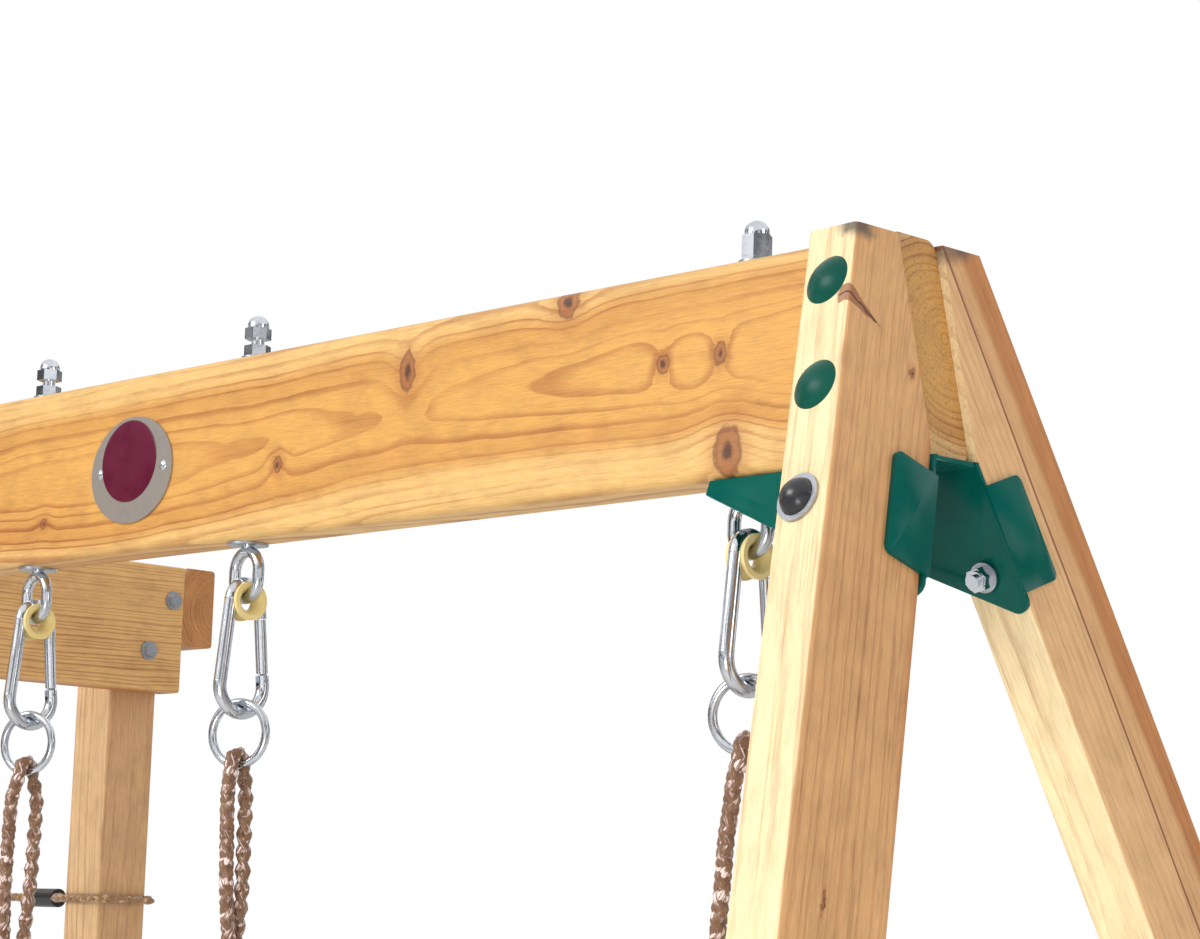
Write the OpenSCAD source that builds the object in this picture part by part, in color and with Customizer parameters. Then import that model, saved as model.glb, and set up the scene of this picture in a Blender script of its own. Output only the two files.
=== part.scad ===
// Timber double swing on a swing beam: a splayed leg frame carries one end and a
// square climbing bay with a rope net carries the other.
// X runs along the beam towards the leg frame, Y across it, Z up from the ground.

/* [Beam] */
// Height of the swing beam's section
beam_h = 135; // [130:1:140]
// Thickness of the swing beam's section
beam_t = 40; // [38:1:42]
// Height of the beam's underside above the ground
beam_under = 1950; // [1900:5:2000]
// Radius along the beam's long edges
beam_edge = 7.5; // [5:0.5:9]

/* [Leg frame] */
// Lean of the legs away from the swings, in degrees
lean = 11.6; // [10:0.1:13]
// Splay of each leg across the beam, in degrees
splay = 20; // [18:0.5:22]
// Width of a leg along the beam
leg_w = 38; // [36:1:40]
// Depth of a leg in its own plane
leg_d = 80; // [76:1:84]
// Distance from the ground to the middle of the leg spreader
spreader_z = 700; // [500:10:900]

/* [Hangers] */
// Distance from the leg frame's top corner to the first hanger
first_hanger = 129; // [125:1:135]
// Distance between the two hangers of one swing
swing_pitch = 496; // [480:2:510]
// Distance between the two swings' neighbouring hangers
swing_gap = 269; // [260:1:290]
// Diameter of the threaded rods
rod_d = 10; // [8:2:12]

/* [Swings] */
// Length of a seat
seat_l = 460; // [440:5:470]
// Width of a seat
seat_w = 170; // [150:5:190]
// Height of a seat's top above the ground
seat_z = 450; // [400:10:500]
// Diameter of the braided rope
rope_d = 10.5; // [9:0.5:11]
// Angle of a ring to the beam, seen from above
ring_turn = 20; // [0:5:30]

/* [Climbing bay] */
// Distance from the middle to the outer face of a post
bay_half = 591; // [560:1:620]
// Depth of the bay along the beam
bay_depth = 1000; // [900:10:1100]
// Side of a square post
post_s = 62; // [58:1:66]
// Height of a top rail's section
rail_h = 84; // [80:1:90]
// Drop of the headers' top below the beam's top
header_drop = 29; // [20:1:35]
// Number of level ropes in the net
net_rows = 5; // [3:1:5]

/* [Hidden] */
$fn = 48;

beam_top = beam_under + beam_h;
header_face = 2 * swing_pitch + swing_gap + 2 * first_hanger - 12;
foot_out = beam_top * tan(lean);
head_out = 7.3;
frame_x = (header_face + bay_depth + head_out - foot_out) / 2;
near_x = frame_x - header_face;
far_x = near_x - bay_depth;
splay_in_frame = atan(tan(splay) * cos(lean));
plate_t = 3;
leg_edge = 3;
spreader_t = 32;
leg_top_drop = 3;
end_recess = 5.5;
hanger_x = [
    frame_x - first_hanger,
    frame_x - first_hanger - swing_pitch,
    frame_x - first_hanger - swing_pitch - swing_gap,
    frame_x - first_hanger - 2 * swing_pitch - swing_gap
];
// The end hangers pass through the steel under the beam, so they sit one plate lower
hanger_drop = [plate_t, 0, 0, plate_t];
acorn_gap = [0, 5, 5, 0];

rod_r = rod_d / 2;
rod_hole_r = rod_r + 0.5;
washer_t = 2;
nut_af = 17;
nut_t = 8.4;
acorn_hex = 8;
acorn_h = 17.6;
eye_wire = 8.5;
eye_in_r = 9.5;
eye_low = 36;
eye_high = 29.5;
eye_mid_r = eye_in_r + eye_wire / 2;
pivot_z = beam_under - eye_low - eye_wire / 2;

bush_in = 6.5;
bush_flare = 8.8;
bush_out = 14;
bush_half = 7.5;
bush_z = beam_under - eye_low + 0.1 - bush_in;
hook_wire = 9.6;
hook_top_r = 12.8;
hook_low_r = 19.2;
hook_low_drop = 61.4;
hook_tilt = asin((hook_low_r - hook_top_r) / hook_low_drop);
hook_low_z = bush_z - hook_low_drop;
gate_pin_along = 3.5;
gate_start = 8.6;
gate_end = 47.5;
nose_start = 48;
forge_gap = 0.3;
forge_bulge = 0.06;
gate_d = 8.6;
gate_pin_r = 1.5;

ring_wire = 6;
ring_mid_r = 22.5;
ring_z = hook_low_z - hook_low_r + (hook_wire + ring_wire) / 2 - ring_mid_r;
rope_r = rope_d / 2;
loop_r = ring_wire / 2 + rope_r;
loop_z = ring_z - ring_mid_r;
seat_t = 28;
seat_hole_x = 205;
seat_hole_y = 52;
seat_hole_r = 7;
adjuster_z = seat_z + 330;
adjuster_h = 14;
strand_y = 9.5;
splice_gap = 0.5;
splice_bulge = 0.15;
knot_r = 11.5;

m8 = 4;
m8_hole = 4.5;
wing_len = 173;
bracket_tip_r = 7;
bracket_tip_mid = [9.9, -82.2];
bracket_tip_start = 246;
bracket_tip_end = 370;
bracket_bolt_x = -20.5;
bracket_bolt_z = -63.2;
flange_w = 32;
flange_lip = 0.6;
flange_r = 5;
bend_in = 1.2;
flange_low = -79;
flange_len = 65;
beam_bolt_across = -18.5;
beam_bolt_up = [81, 10];
counterbore_r = 12;
counterbore_d = 16;

header_h = 135;
header_t = 40;
header_top = beam_top - header_drop;
header_under = header_top - header_h;
rail_t = 40;
low_rail_z = 120;
post_mid_y = bay_half - post_s / 2;
bay_bolt_y = [-12, 17];
bay_bolt_z = [42, 98];
net_top_z = beam_under - 249;
net_step = 290;
net_rope = 10;
near_post_x = near_x - header_t - post_s / 2;
far_post_x = far_x + header_t + post_s / 2;
net_span = near_post_x - far_post_x;
net_columns = 3;
ferrule_x = post_s / 2 + 56;
ferrule_len = 50;
top_rail_mid = header_top - rail_h / 2;
low_rail_mid = low_rail_z + rail_h / 2;

shoe_bolt_x = [30, 75];
shoe_bolt_z = 60;
shoe_len = 140;
shoe_side_h = 100;

badge_x = frame_x - 745;
badge_z = beam_under + 62;
badge_t = 1.6;
badge_half = [51, 40.5];

// Common shapes

// Flat rectangle with rounded corners
module soft_rect(a, b, r) {
    square([a - 2 * r, b], center = true);
    square([a, b - 2 * r], center = true);
    for (i = [-1, 1], j = [-1, 1]) translate([i * (a / 2 - r), j * (b / 2 - r)]) circle(r);
}

// Board along X from x0, section b across Y and c up Z, centred on y and z
module board_x(x0, len, y, z, b, c, r) {
    translate([x0, y, z]) rotate([90, 0, 90]) linear_extrude(len) soft_rect(b, c, r);
}

// Board along Y, centred on the middle
module board_y(x, z, len, b, c, r) {
    translate([x, len / 2, z]) rotate([90, 0, 0]) linear_extrude(len) soft_rect(b, c, r);
}

// Straight round bar between two points
module bar(p, q, r) {
    v = q - p;
    flat = norm([v.x, v.y]);
    translate(p) rotate([0, atan2(flat, v.z), atan2(v.y, v.x)]) cylinder(h = norm(v), r = r);
}

// Ring of round wire in the XY plane
module wire_ring(mid_r, wire_d) {
    rotate_extrude() translate([mid_r, 0]) circle(d = wire_d, $fn = 32);
}

// Part of a wire ring, counted from +X
module wire_arc(mid_r, wire_d, start, sweep) {
    rotate([0, 0, start]) rotate_extrude(angle = sweep) translate([mid_r, 0]) circle(d = wire_d, $fn = 32);
}

module hex_nut(af, h, hole_r) {
    difference() {
        cylinder(h = h, r = af / sqrt(3), $fn = 6);
        translate([0, 0, -1]) cylinder(h = h + 2, r = hole_r);
    }
}

module washer(r, hole_r, t) {
    difference() {
        cylinder(h = t, r = r);
        translate([0, 0, -1]) cylinder(h = t + 2, r = hole_r);
    }
}

// Low dome of radius r and height h, with a round recess of radius hole_r under it
module dome(r, h, hole_r = 0, hole_h = 0) {
    ball_r = (r * r + h * h) / (2 * h);
    rotate_extrude($fn = 96) difference() {
        intersection() {
            translate([0, h - ball_r]) circle(ball_r, $fn = 360);
            square([r + 1, h]);
        }
        translate([-1, -1]) square([hole_r + 1, hole_h + 1]);
    }
}

// Frame on a leg's inner face: X out of the leg frame, Z up the leg, Y across.
// Its origin is where that face's outer edge meets the beam's underside.
module on_leg(side) {
    translate([frame_x + beam_h * tan(lean), side * beam_t / 2, beam_under])
        rotate([0, -lean, 0])
            rotate([side * splay_in_frame, 0, 0])
                children();
}

// Frame of a bracket's side plate, with the same origin: X along the beam, Z up the plate
module on_plate(side) {
    translate([frame_x + beam_h * tan(lean), side * beam_t / 2, beam_under])
        rotate([side * splay, 0, 0])
            children();
}

// Y axis of the leg frame pointing out through the leg
module out_of_leg(side) {
    rotate([-side * 90, 0, 0]) children();
}

// Hanger positions, at the lowered level of each if drop is 1
module at_hangers(drop = 0) {
    for (i = [0:3]) translate([hanger_x[i], 0, -drop * hanger_drop[i]]) children();
}

// Beam and legs

module end_cut(extra) {
    translate([frame_x, 0, beam_top]) rotate([0, -lean, 0])
        translate([extra, -200, -400]) cube([400, 400, 800]);
}

module beam() {
    color("burlywood")
    difference() {
        board_x(near_x, header_face + 100, 0, beam_under + beam_h / 2, beam_t, beam_h, beam_edge);
        end_cut(-end_recess);
        at_hangers() translate([0, 0, beam_under - 1]) cylinder(h = beam_h + 2, r = rod_hole_r);
        for (up = beam_bolt_up) at_beam_bolt(up, 1) cylinder(h = 100, r = m8_hole, center = true);
        for (x = shoe_bolt_x) translate([near_x + x, 0, beam_under + shoe_bolt_z])
            rotate([90, 0, 0]) cylinder(h = 100, r = m8_hole, center = true);
    }
}

// Point on a leg's outer face, a distance up the leg, with y counted away from the middle
function leg_lift(up) = leg_d * sin(splay_in_frame) + up * cos(splay_in_frame);
function leg_point(up) = [
    frame_x + beam_h * tan(lean) + beam_bolt_across * cos(lean) - leg_lift(up) * sin(lean),
    beam_t / 2 + leg_d * cos(splay_in_frame) - up * sin(splay_in_frame),
    beam_under + beam_bolt_across * sin(lean) + leg_lift(up) * cos(lean)
];

// Line of a bolt through both legs and the beam, Z out through one leg
module at_beam_bolt(up, side) {
    translate([leg_point(up).x, 0, leg_point(up).z]) rotate([-side * 90, 0, 0]) children();
}

// Outer face of a leg, across the beam, at height z
function leg_face_y(z) = beam_t / 2 + leg_d / cos(splay) - (z - beam_under) * tan(splay);

module leg(side) {
    color("wheat")
    difference() {
        on_leg(side) translate([-leg_w / 2, side * leg_d / 2, -2300])
            linear_extrude(2500) soft_rect(leg_w, leg_d, leg_edge);
        translate([frame_x - 300, side * (beam_t / 2 - 200) - 200, beam_under - 20]) cube([600, 400, 400]);
        translate([frame_x - 300, -400, beam_top - leg_top_drop]) cube([600, 800, 300]);
        translate([frame_x - 300, -1200, -400]) cube([1200, 2400, 400]);
        for (up = beam_bolt_up) at_beam_bolt(up, side) {
            cylinder(h = 200, r = m8_hole);
            translate([0, 0, leg_point(up).y - counterbore_d]) cylinder(h = 60, r = counterbore_r);
        }
        on_leg(side) translate([bracket_bolt_x, 0, bracket_bolt_z]) out_of_leg(side)
            translate([0, 0, -10]) cylinder(h = leg_d + 20, r = m8_hole);
        spreader_hole(side, 200);
        // Flat that the bracket's side plate bears on
        on_plate(side) translate([0, side < 0 ? plate_t + 10 : 0, 0]) rotate([90, 0, 0])
            linear_extrude(plate_t + 10) polygon(bracket_outline);
    }
}

module spreader_hole(side, len) {
    translate([spreader_x(), side * spreader_bolt_y(), spreader_z]) rotate([0, 90 - lean, 0])
        cylinder(h = len, r = m8_hole, center = true);
}

function spreader_x() = frame_x + (beam_top - spreader_z) * tan(lean) - leg_w / cos(lean);
function spreader_bolt_y() = leg_face_y(spreader_z) - leg_d / 2 / cos(splay);

module leg_spreader() {
    half = leg_face_y(spreader_z) - 20;
    color("wheat")
    difference() {
        translate([spreader_x(), 0, spreader_z]) rotate([0, -lean, 0]) translate([-spreader_t / 2, half, 0])
            rotate([90, 0, 0]) linear_extrude(2 * half) soft_rect(spreader_t, leg_d, leg_edge);
        for (side = [-1, 1]) spreader_hole(side, 200);
    }
}

module spreader_bolts() {
    color("silver")
    for (side = [-1, 1]) translate([spreader_x(), side * spreader_bolt_y(), spreader_z])
        rotate([0, 90 - lean, 0]) translate([0, 0, (leg_w - spreader_t) / 2]) coach_bolt(leg_w + spreader_t);
}

// Bracket under the beam's end

// Outer edge of a side plate, in its own frame, at height z
function plate_edge(z) = -z * cos(splay) * tan(lean);
bracket_outline = [
    [2, 3],
    [-wing_len, 3],
    [-wing_len, -9.5],
    for (a = [bracket_tip_start:12:bracket_tip_end]) bracket_tip_mid + bracket_tip_r * [cos(a), sin(a)],
    [plate_edge(-1) + bend_in, -1]
];

// Flange in its leg's frame, Y across and Z up, with its two outer corners rounded
module flange_shape(side) {
    inner = plate_t + flange_lip;
    for (z = [flange_r, flange_len - flange_r]) translate([side * (flange_w - flange_r), z]) circle(flange_r);
    translate([side < 0 ? flange_r - flange_w : -inner, 0]) square([flange_w - flange_r + inner, flange_len]);
    translate([side < 0 ? -flange_w : -inner, flange_r]) square([flange_w + inner, flange_len - 2 * flange_r]);
}

module apex_bracket() {
    color("darkgreen")
    difference() {
        union() {
            difference() {
                translate([frame_x + beam_h * tan(lean) - wing_len, -beam_t / 2, beam_under - plate_t])
                    cube([wing_len + 20, beam_t, plate_t]);
                end_cut(0);
            }
            for (side = [-1, 1]) difference() {
                union() {
                    on_plate(side) translate([0, side < 0 ? plate_t : 0, 0]) rotate([90, 0, 0])
                        linear_extrude(plate_t) polygon(bracket_outline);
                    on_leg(side) translate([0, 0, flange_low]) rotate([90, 0, 90])
                        linear_extrude(plate_t) flange_shape(side);
                }
                translate([frame_x - 300, -200, beam_under]) cube([600, 400, 100]);
            }
        }
        at_bracket_bolts() cylinder(h = 20, r = m8_hole, center = true);
        translate([hanger_x[0], 0, beam_under - 20]) cylinder(h = 40, r = rod_hole_r);
    }
}

module at_bracket_bolts() {
    for (side = [-1, 1]) on_leg(side) translate([bracket_bolt_x, 0, bracket_bolt_z])
        out_of_leg(side) children();
}

module bracket_bolts() {
    color("silver") at_bracket_bolts() {
        translate([0, 0, -plate_t - 14]) cylinder(h = leg_d + plate_t + 14, r = m8);
        translate([0, 0, leg_d + washer_t]) cylinder(h = 5, r = 7.5, $fn = 6);
        translate([0, 0, leg_d - 1]) cylinder(h = washer_t + 2, r = m8);
    }
}

module bracket_washers() {
    color("gainsboro") at_bracket_bolts() {
        translate([0, 0, leg_d]) washer(14.5, m8, washer_t);
        translate([0, 0, -plate_t - washer_t]) washer(9, m8, washer_t);
    }
}

module bracket_bolt_caps() {
    color("black") at_bracket_bolts() translate([0, 0, leg_d + washer_t]) dome(11.5, 8.5, 7.6, 5.1);
}

module bracket_nuts() {
    color("silver") at_bracket_bolts() translate([0, 0, -plate_t - washer_t - 8]) {
        hex_nut(13, 8, m8);
        translate([0, 0, -1.5]) washer(6, m8, 1.5);
    }
}

module beam_bolts() {
    color("silver")
    for (up = beam_bolt_up, side = [-1, 1]) at_beam_bolt(up, side) {
        seat = leg_point(up).y - counterbore_d;
        cylinder(h = seat + 9, r = m8);
        translate([0, 0, seat]) washer(11, m8, washer_t);
        translate([0, 0, seat + washer_t]) hex_nut(13, 6.5, m8);
    }
}

module beam_bolt_caps() {
    color("darkgreen") for (up = beam_bolt_up, side = [-1, 1]) on_leg(side)
        translate([beam_bolt_across, side * leg_d, up]) out_of_leg(side) dome(15.5, 6, 13, 1.5);
}

// Hangers

module eyebolts() {
    color("silver")
    for (i = [0:3]) translate([hanger_x[i], 0, beam_under]) {
        cylinder(h = beam_h + washer_t + nut_t + acorn_gap[i] + 12, r = rod_r);
        translate([0, 0, -hanger_drop[i] - 4]) cylinder(h = hanger_drop[i] + 5, r = rod_r);
        translate([0, 0, -eye_low + eye_in_r - hanger_drop[i]]) {
            rotate([90, 0, 0]) wire_arc(eye_mid_r, eye_wire, 180, 180);
            translate([0, 0, eye_low - eye_high]) rotate([90, 0, 0]) wire_arc(eye_mid_r, eye_wire, 0, 180);
            for (s = [-1, 1]) translate([s * eye_mid_r, 0, 0])
                cylinder(h = eye_low - eye_high, d = eye_wire, $fn = 32);
        }
    }
}

module lower_washers() {
    color("gainsboro") at_hangers(1) translate([0, 0, beam_under - washer_t]) washer(15, rod_r, washer_t);
}

module upper_washers() {
    color("gainsboro") at_hangers() translate([0, 0, beam_top]) washer(11.5, rod_r, washer_t);
}

module hanger_nuts() {
    color("silver") at_hangers() translate([0, 0, beam_top + washer_t]) hex_nut(nut_af, nut_t, rod_r);
}

module acorn_nuts() {
    color("silver")
    for (i = [0:3]) translate([hanger_x[i], 0, beam_top + washer_t + nut_t + acorn_gap[i]]) difference() {
        union() {
            cylinder(h = acorn_hex, r = nut_af / sqrt(3), $fn = 6);
            intersection() {
                translate([0, 0, acorn_h - 8]) sphere(8);
                translate([0, 0, acorn_hex]) cylinder(h = 20, r = 9);
            }
            translate([0, 0, acorn_hex]) cylinder(h = acorn_h - 8 - acorn_hex, r = 8);
        }
        translate([0, 0, -1]) cylinder(h = 13, r = rod_r);
    }
}

// Swings

// Frame of hook i: Y to the gate side, Z up, origin at the middle of the bush
module at_hook(i) {
    translate([hanger_x[i], 0, bush_z - hanger_drop[i]]) children();
}

module snap_hook(i) {
    color("silver") at_hook(i) difference() {
        union() {
            rotate([90, 0, 90]) wire_arc(hook_top_r, hook_wire, hook_tilt, 180 - 2 * hook_tilt);
            translate([0, 0, -hook_low_drop]) rotate([90, 0, 90])
                wire_arc(hook_low_r, hook_wire, 180 - hook_tilt, 180 + 2 * hook_tilt);
            wire_bar(on_spine(-1, hook_top_r, -forge_gap), on_spine(-1, hook_low_r, forge_gap - hook_low_drop));
            wire_bar(along_gate(forge_gap), along_gate(2 * gate_pin_along));
            wire_bar(along_gate(nose_start), on_spine(1, hook_top_r, -forge_gap));
            for (s = [-1, 1]) {
                translate(on_spine(s, hook_top_r, 0)) sphere(hook_wire / 2 + forge_bulge);
                translate(on_spine(s, hook_low_r, -hook_low_drop)) sphere(hook_wire / 2 + forge_bulge);
            }
        }
        // Slot for the gate's tongue
        translate([-1.6, hook_low_r - 8, -hook_low_drop + 1]) cube([3.2, 16, 14]);
        gate_pin_hole(gate_pin_r);
    }
}

module wire_bar(p, q) {
    bar(p, q, hook_wire / 2);
}

module gate_pin_hole(r) {
    translate([-10, 0, 0] + along_gate(gate_pin_along)) rotate([0, 90, 0]) cylinder(h = 20, r = r);
}

// Point where the straight side meets a bow of radius r centred at height z
function on_spine(side, r, z) = [0, side * r * cos(hook_tilt), z + r * sin(hook_tilt)];
// Point at distance d up the gate side from the lower bow
function along_gate(d) = on_spine(1, hook_low_r, -hook_low_drop) + d * [0, -sin(hook_tilt), cos(hook_tilt)];

module gate(i) {
    color("gainsboro") at_hook(i) difference() {
        union() {
            bar(along_gate(gate_start), along_gate(gate_end), gate_d / 2);
            translate(along_gate(gate_pin_along)) {
                rotate([0, 90, 0]) cylinder(h = 2.8, r = 3.2, center = true);
                rotate([hook_tilt, 0, 0]) translate([-1.4, -3.2, 0]) cube([2.8, 6.4, 6]);
            }
        }
        gate_pin_hole(gate_pin_r + 0.05);
    }
}

module gate_pins(a) {
    color("dimgray") for (i = [a, a + 1]) at_hook(i)
        translate([-hook_wire / 2 + 0.3, 0, 0] + along_gate(gate_pin_along)) rotate([0, 90, 0])
            cylinder(h = hook_wire - 0.6, r = gate_pin_r);
}

module bushes(a) {
    color("khaki") for (i = [a, a + 1]) at_hook(i) rotate([0, 90, 0]) rotate_extrude() difference() {
        intersection() {
            translate([0, -bush_half]) square([bush_out, 2 * bush_half]);
            translate([bush_in + bush_flare, 0]) circle(bush_flare, $fn = 64);
        }
        translate([hook_top_r, 0]) circle(d = hook_wire, $fn = 32);
    }
}

module rings(a) {
    color("silver") for (i = [a, a + 1]) translate([hanger_x[i], 0, ring_z - hanger_drop[i]])
        rotate([90, 0, ring_turn]) wire_ring(ring_mid_r, ring_wire);
}

// Sideways lean of a rope, from its ring to its seat
function seat_mid(i) = i < 2 ? (hanger_x[0] + hanger_x[1]) / 2 : (hanger_x[2] + hanger_x[3]) / 2;
function seat_x(i) = seat_mid(i) + (i % 2 == 0 ? 1 : -1) * seat_hole_x;
function rope_x(i, z) = seat_x(i) + (hanger_x[i] - seat_x(i)) * (z - seat_z) / (rope_top(i) - seat_z);
function rope_top(i) = loop_z - hanger_drop[i];

// Stretch of rope whose ends stop just short of the balls that join it to the next
module rope_run(p, q) {
    short = (q - p) / norm(q - p) * splice_gap;
    bar(p + short, q - short, rope_r);
}

module rope(i) {
    color("peru") {
        translate([hanger_x[i], 0, rope_top(i)]) rotate([0, 0, ring_turn]) rotate([90, 0, 90])
            wire_arc(loop_r, rope_d, 0, 180);
        for (s = [-1, 1]) {
            top = [hanger_x[i] - s * loop_r * sin(ring_turn), s * loop_r * cos(ring_turn), rope_top(i)];
            mid = [rope_x(i, adjuster_z), s * strand_y, adjuster_z];
            low = [seat_x(i), s * seat_hole_y, seat_z - seat_t - 6];
            translate(top) sphere(rope_r + splice_bulge);
            rope_run(top, mid);
            translate(mid) sphere(rope_r + splice_bulge);
            rope_run(mid, low);
            translate(low - [0, 0, 5]) sphere(knot_r);
        }
    }
}

module rope_adjusters(a) {
    color("dimgray") for (i = [a, a + 1]) translate([rope_x(i, adjuster_z), 0, adjuster_z - adjuster_h / 2])
        difference() {
            linear_extrude(adjuster_h) soft_rect(26, 48, 12);
            for (s = [-1, 1]) translate([0, s * strand_y, -1]) cylinder(h = adjuster_h + 2, r = rope_r + 0.6);
        }
}

module seat(a) {
    color("darkgreen") translate([seat_mid(a), 0, seat_z - seat_t]) difference() {
        linear_extrude(seat_t) soft_rect(seat_l, seat_w, 40);
        for (i = [-1, 1], s = [-1, 1]) translate([i * seat_hole_x, s * seat_hole_y, -1])
            cylinder(h = seat_t + 2, r = seat_hole_r);
    }
}

// Badge on the front of the beam

module badge() {
    color("silver") translate([badge_x, -beam_t / 2, badge_z]) rotate([90, 0, 0]) linear_extrude(badge_t)
        polygon([for (a = [0:7.5:352.5]) [badge_half.x * cos(a), badge_half.y * sin(a)]]);
}

module badge_screws() {
    color("gainsboro") for (s = [-1, 1]) translate([badge_x + s * 40, -beam_t / 2 - badge_t, badge_z])
        rotate([90, 0, 0]) dome(4, 1.8);
}

// Climbing bay

module header(x) {
    color("sandybrown") difference() {
        board_y(x, header_under + header_h / 2, 2 * bay_half, header_t, header_h, 4);
        at_bay_bolts() cylinder(h = 400, r = m8_hole, center = true);
        if (x > far_x + header_t) at_shoe_bolts() cylinder(h = 200, r = m8_hole, center = true);
    }
}

module post(x, side) {
    color("wheat") difference() {
        translate([x, side * post_mid_y, 0]) linear_extrude(header_top) soft_rect(post_s, post_s, 5);
        at_bay_bolts() cylinder(h = 400, r = m8_hole, center = true);
        at_rail_bolts() cylinder(h = 400, r = m8_hole, center = true);
    }
}

module rail(side, z) {
    color("burlywood") difference() {
        board_x(far_x, bay_depth, side * (bay_half + rail_t / 2), z, rail_t, rail_h, 4);
        at_rail_bolts() cylinder(h = 400, r = m8_hole, center = true);
    }
}

// Bolt lines through the headers into the posts
module at_bay_bolts() {
    for (x = [near_post_x, far_post_x], side = [-1, 1], k = [0, 1])
        translate([x, side * (post_mid_y + bay_bolt_y[k]), header_under + bay_bolt_z[k]])
            rotate([0, 90, 0]) children();
}

// Bolt lines through the rails into the posts
module at_rail_bolts() {
    for (x = [near_post_x, far_post_x], side = [-1, 1], z = [top_rail_mid - 16, low_rail_mid])
        translate([x, side * post_mid_y, z]) rotate([-side * 90, 0, 0]) children();
}

module coach_bolt(grip) {
    translate([0, 0, -grip / 2 - 8]) cylinder(h = grip + 8, r = m8);
    translate([0, 0, grip / 2]) {
        washer(10, m8, washer_t);
        cylinder(h = washer_t, r = m8);
        translate([0, 0, washer_t]) cylinder(h = 5.3, r = 7.5, $fn = 6);
    }
    translate([0, 0, -grip / 2 - washer_t]) washer(10, m8, washer_t);
    translate([0, 0, -grip / 2 - washer_t - 6.5]) hex_nut(13, 6.5, m8);
}

module bay_bolts() {
    grip = post_s + header_t;
    color("silver") {
        for (x = [near_post_x, far_post_x], side = [-1, 1], k = [0, 1])
            translate([x + (x == near_post_x ? 1 : -1) * header_t / 2, side * (post_mid_y + bay_bolt_y[k]),
                header_under + bay_bolt_z[k]]) rotate([0, x == near_post_x ? 90 : -90, 0]) coach_bolt(grip);
        for (x = [near_post_x, far_post_x], side = [-1, 1], z = [top_rail_mid - 16, low_rail_mid])
            translate([x, side * (post_mid_y + rail_t / 2), z]) rotate([-side * 90, 0, 0]) coach_bolt(grip);
    }
}

// Steel shoe that holds the beam's end against the near header

module at_shoe_bolts() {
    for (side = [-1, 1], z = [25, 80]) translate([near_x, side * (beam_t / 2 + 24), beam_under + z])
        rotate([0, 90, 0]) children();
}

module beam_shoe() {
    color("darkgreen") difference() {
        union() {
            translate([near_x, -beam_t / 2 - plate_t, beam_under - plate_t])
                cube([shoe_len, beam_t + 2 * plate_t, plate_t]);
            for (side = [-1, 1]) {
                translate([near_x, side > 0 ? beam_t / 2 + plate_t : -beam_t / 2, beam_under - plate_t])
                    rotate([90, 0, 0]) linear_extrude(plate_t)
                        polygon([
                            [0, 0],
                            [shoe_len, 0],
                            [shoe_len, 12],
                            [shoe_len - 45, shoe_side_h],
                            [0, shoe_side_h]
                        ]);
                translate([near_x, side > 0 ? beam_t / 2 : -beam_t / 2 - 42, beam_under - plate_t])
                    cube([plate_t, 42, shoe_side_h]);
            }
        }
        at_shoe_bolts() cylinder(h = 20, r = m8_hole, center = true);
        for (x = shoe_bolt_x) translate([near_x + x, 0, beam_under + shoe_bolt_z])
            rotate([90, 0, 0]) cylinder(h = 100, r = m8_hole, center = true);
        translate([hanger_x[3], 0, beam_under - 20]) cylinder(h = 40, r = rod_hole_r);
    }
}

module shoe_bolts() {
    color("silver") {
        for (x = shoe_bolt_x) translate([near_x + x, 0, beam_under + shoe_bolt_z]) rotate([90, 0, 0])
            coach_bolt(beam_t + 2 * plate_t);
        at_shoe_bolts() translate([0, 0, (plate_t - header_t) / 2]) coach_bolt(header_t + plate_t);
    }
}

// Rope net on the back of the bay

// Height of the net's level rope k, counted from the top
function net_row_z(k) = net_top_z - k * net_step;

// Eight-sided stretch of rope with its ends run on by half a diameter
module cord(p, q) {
    run_on = (q - p) / norm(q - p) * net_rope / 2;
    bar(p - run_on, q + run_on, net_rope / 2, $fn = 8);
}

// Rope round a post, drawn in to the ferrule on the bay's side
module post_loop(x, dir) {
    y = (post_s + net_rope) / 2;
    translate([x, post_mid_y, 0]) {
        cord([dir * y, -y, 0], [dir * y, y, 0]);
        for (s = [-1, 1]) {
            cord([dir * y, s * y, 0], [-dir * post_s / 2, s * y, 0]);
            cord([-dir * post_s / 2, s * y, 0], [-dir * ferrule_x, s * 4.6, 0]);
        }
    }
}

module net_ropes() {
    color("peru") {
        for (k = [0:net_rows - 1]) translate([0, 0, net_row_z(k)]) {
            post_loop(near_post_x, 1);
            post_loop(far_post_x, -1);
            cord([far_post_x + ferrule_x + 10, post_mid_y, 0], [near_post_x - ferrule_x - 10, post_mid_y, 0]);
        }
        for (j = [1:net_columns]) translate([far_post_x + j * net_span / (net_columns + 1), post_mid_y, 0])
            cord([0, 0, net_row_z(net_rows - 1)], [0, 0, net_top_z]);
    }
}

module net_ferrules() {
    color("black") for (k = [0:net_rows - 1], s = [-1, 1])
        translate([s > 0 ? near_post_x - ferrule_x : far_post_x + ferrule_x, post_mid_y, net_row_z(k)])
            rotate([0, -s * 90, 0]) cylinder(h = ferrule_len, r = 10);
}

module net_clamps() {
    color("black") for (k = [0:net_rows - 1], j = [1:net_columns])
        translate([far_post_x + j * net_span / (net_columns + 1), post_mid_y, net_row_z(k)])
            rotate([90, 0, 0]) cylinder(h = 20, r = 17, center = true);
}

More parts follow.
